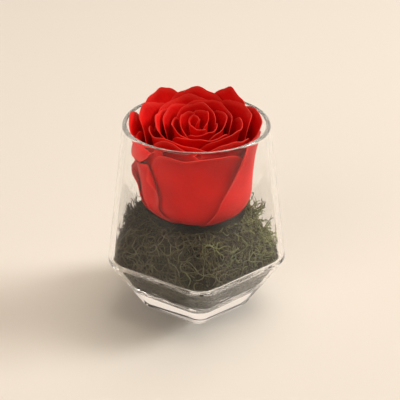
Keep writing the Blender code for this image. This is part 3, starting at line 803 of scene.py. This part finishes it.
def rose_part(name, petals):
    """One piece with a group of petals, each point knowing how near the lip it is."""
    points = []
    faces = []
    lips = []
    for settings in petals:
        surface, near = petal_surface(settings, PETAL_COLUMNS, PETAL_ROWS)
        body, sides = petal_body(surface, near)
        base = len(points)
        points += body.tolist()
        faces += [tuple(v + base for v in face) for face in sides]
        lips += near.reshape(-1).tolist() * 2
    piece = piece_from(name, points, faces, velvet)
    piece.data.set_sharp_from_angle(angle=math.radians(70))
    attribute = piece.data.attributes.new("lip", "FLOAT", "POINT")
    attribute.data.foreach_set("value", lips)
    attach(piece, "root")
    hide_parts("rose_bloom")


spiral = spiral_petals()
rose_part("rose_heart", spiral[:HEART_PETALS])
rose_part("rose_whorls", spiral[HEART_PETALS:])
rose_part("rose_outer_petals", outer_petals())


# The base of the rose head: the thick lower ends of the petals, grown together on the
# receptacle. It closes the head under and between the whorls, and can't be seen from outside.
BASE_SEGMENTS = 48
BASE_FOOT = -0.35
BASE_TOP = 43.2
BASE_PROFILE = [(5.6, -0.35), (9.3, 0.9), (15.2, 4.0), (18.7, 9.0), (19.6, 21.0),
                (16.0, 27.0), (11.0, 31.0), (5.5, 36.0), (1.8, 43.0)]

base_points = [(0.0, 0.0, BLOOM_BASE + BASE_FOOT)]
for radius, z in BASE_PROFILE:
    for j in range(BASE_SEGMENTS):
        a = 2 * math.pi * j / BASE_SEGMENTS
        base_points.append((radius * math.cos(a), radius * math.sin(a), z + BLOOM_BASE))
base_points.append((0.0, 0.0, BLOOM_BASE + BASE_TOP))
top_point = len(base_points) - 1
top_ring = top_point - BASE_SEGMENTS
base_faces = []
for j in range(BASE_SEGMENTS):
    k = (j + 1) % BASE_SEGMENTS
    base_faces.append((0, 1 + k, 1 + j))
    base_faces.append((top_point, top_ring + j, top_ring + k))
    for i in range(len(BASE_PROFILE) - 1):
        low = 1 + BASE_SEGMENTS * i
        high = low + BASE_SEGMENTS
        base_faces.append((low + j, low + k, high + k, high + j))
rose_base = piece_from("rose_base", base_points, base_faces, velvet)
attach(rose_base, "root")
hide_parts("rose_bloom")


# The studio, in metres: a flat round floor painted cream, one broad white light from high on the
# right, a weaker warm one from the front left and one from above, and warm air that is brightest
# low behind the vase, with a grey card at each side that draws the edges of the glass.
FLOOR_RADIUS = 0.8
FLOOR_STEPS = 120
FLOOR_CREAM = (0.74, 0.695, 0.63)
# Place, size, watts and colour of each light
LIGHTS = {
    "key_light": ((2.40, 0.33, 1.90), 1.05, 61.0, (1.0, 0.995, 0.98)),
    "fill_light": ((-1.10, -1.50, 1.10), 1.4, 12.8, (1.0, 0.88, 0.77)),
    "ceiling_light": ((0.3, 0.2, 1.6), 1.1, 14.0, (1.0, 0.88, 0.76)),
}
LIGHT_AIM = (0.0, 0.0, 0.05)
AIR_BRIGHT = (1.0, 0.87, 0.76)
AIR_DIM = (0.14, 0.125, 0.11)
CARD_GREY = (0.30, 0.275, 0.25)
CARD_EDGES = (0.72, 0.92)
LIGHT_BOUNCES = 64


def cream_paint(name, colour):
    """Matte paint on the studio's floor."""
    material = bpy.data.materials.new(name)
    material.use_nodes = True
    shader = material.node_tree.nodes["Principled BSDF"]
    shader.inputs["Base Color"].default_value = (*colour, 1.0)
    shader.inputs["Roughness"].default_value = 0.95
    shader.inputs["Specular IOR Level"].default_value = 0.1
    return material


floor_ring = []
for k in range(FLOOR_STEPS):
    a = math.radians(360.0 / FLOOR_STEPS * k)
    floor_ring.append((FLOOR_RADIUS * math.cos(a), FLOOR_RADIUS * math.sin(a), 0.0))
floor_mesh = bpy.data.meshes.new("studio_floor")
floor_mesh.from_pydata(floor_ring, [], [tuple(range(FLOOR_STEPS))])
floor_mesh.materials.append(cream_paint("floor_cream", FLOOR_CREAM))
studio_floor = bpy.data.objects.new("studio_floor", floor_mesh)
bpy.context.scene.collection.objects.link(studio_floor)


def soft_light(name, place, size, power, colour):
    """Square soft box turned to the middle of the vase."""
    light = bpy.data.lights.new(name, "AREA")
    light.size = size
    light.energy = power
    light.color = colour
    lamp = bpy.data.objects.new(name, light)
    bpy.context.scene.collection.objects.link(lamp)
    lamp.location = place
    aim = Vector(LIGHT_AIM) - Vector(place)
    lamp.rotation_euler = aim.to_track_quat("-Z", "Y").to_euler()


for light_name, settings in LIGHTS.items():
    soft_light(light_name, *settings)

world = bpy.data.worlds.new("studio_air")
bpy.context.scene.world = world
world.use_nodes = True
air = world.node_tree.nodes
air_links = world.node_tree.links
sky_place = air.new("ShaderNodeTexCoord")
sky_parts = air.new("ShaderNodeSeparateXYZ")
air_links.new(sky_place.outputs["Generated"], sky_parts.inputs["Vector"])
sky_tone = air.new("ShaderNodeValToRGB")
sky_tone.color_ramp.elements[0].position = 0.0
sky_tone.color_ramp.elements[0].color = (*AIR_BRIGHT, 1.0)
sky_tone.color_ramp.elements[1].position = 0.60
sky_tone.color_ramp.elements[1].color = (*AIR_DIM, 1.0)
backward = air.new("ShaderNodeMath")
backward.operation = "MULTIPLY_ADD"
backward.inputs[1].default_value = -0.5
air_links.new(sky_parts.outputs["Y"], backward.inputs[0])
air_links.new(sky_parts.outputs["Z"], backward.inputs[2])
air_links.new(backward.outputs["Value"], sky_tone.inputs["Fac"])
sideways = air.new("ShaderNodeMath")
sideways.operation = "ABSOLUTE"
air_links.new(sky_parts.outputs["X"], sideways.inputs[0])
card = air.new("ShaderNodeMapRange")
card.interpolation_type = "SMOOTHSTEP"
card.inputs["From Min"].default_value = CARD_EDGES[0]
card.inputs["From Max"].default_value = CARD_EDGES[1]
air_links.new(sideways.outputs["Value"], card.inputs["Value"])
carded = air.new("ShaderNodeMix")
carded.data_type = "RGBA"
carded.inputs["B"].default_value = (*CARD_GREY, 1.0)
air_links.new(card.outputs["Result"], carded.inputs["Factor"])
air_links.new(sky_tone.outputs["Color"], carded.inputs["A"])
air_links.new(carded.outputs["Result"], air["Background"].inputs["Color"])
air["Background"].inputs["Strength"].default_value = 1.0
bpy.context.scene.view_settings.view_transform = "Standard"
bpy.context.scene.cycles.use_denoising = True
bpy.context.scene.cycles.max_bounces = LIGHT_BOUNCES
bpy.context.scene.cycles.transmission_bounces = LIGHT_BOUNCES
bpy.context.scene.cycles.glossy_bounces = LIGHT_BOUNCES


# The camera, in metres and degrees: half a metre off and well above the rim, a little to the
# left of the corner that faces it, and held half a degree out of level. The photograph's width
# and the focal length that fits it are in pixels.
PHOTO_WIDTH = 400.0
FOCAL_LENGTH = 1072.0
SENSOR_WIDTH = 36.0
CAMERA_DISTANCE = 0.5
CAMERA_SWING = 4.23
CAMERA_RISE = 28.08
CAMERA_ROLL = 0.5
AIM_HEIGHT = 0.05265
AIM_ASIDE = 0.00186

camera_data = bpy.data.cameras.new("photo_camera")
camera_data.sensor_width = SENSOR_WIDTH
camera_data.lens = FOCAL_LENGTH / PHOTO_WIDTH * SENSOR_WIDTH
camera = bpy.data.objects.new("photo_camera", camera_data)
bpy.context.scene.collection.objects.link(camera)
swing = math.radians(CAMERA_SWING)
rise = math.radians(CAMERA_RISE)
aside = Vector((math.cos(swing), -math.sin(swing), 0.0))
aim_point = aside * AIM_ASIDE + Vector((0.0, 0.0, AIM_HEIGHT))
away = Vector((-math.sin(swing) * math.cos(rise), -math.cos(swing) * math.cos(rise),
               math.sin(rise)))
camera.location = aim_point + away * CAMERA_DISTANCE
roll = Matrix.Rotation(math.radians(CAMERA_ROLL), 3, "Z")
look = (-away).to_track_quat("-Z", "Y").to_matrix() @ roll
camera.rotation_euler = look.to_euler()
bpy.context.scene.camera = camera
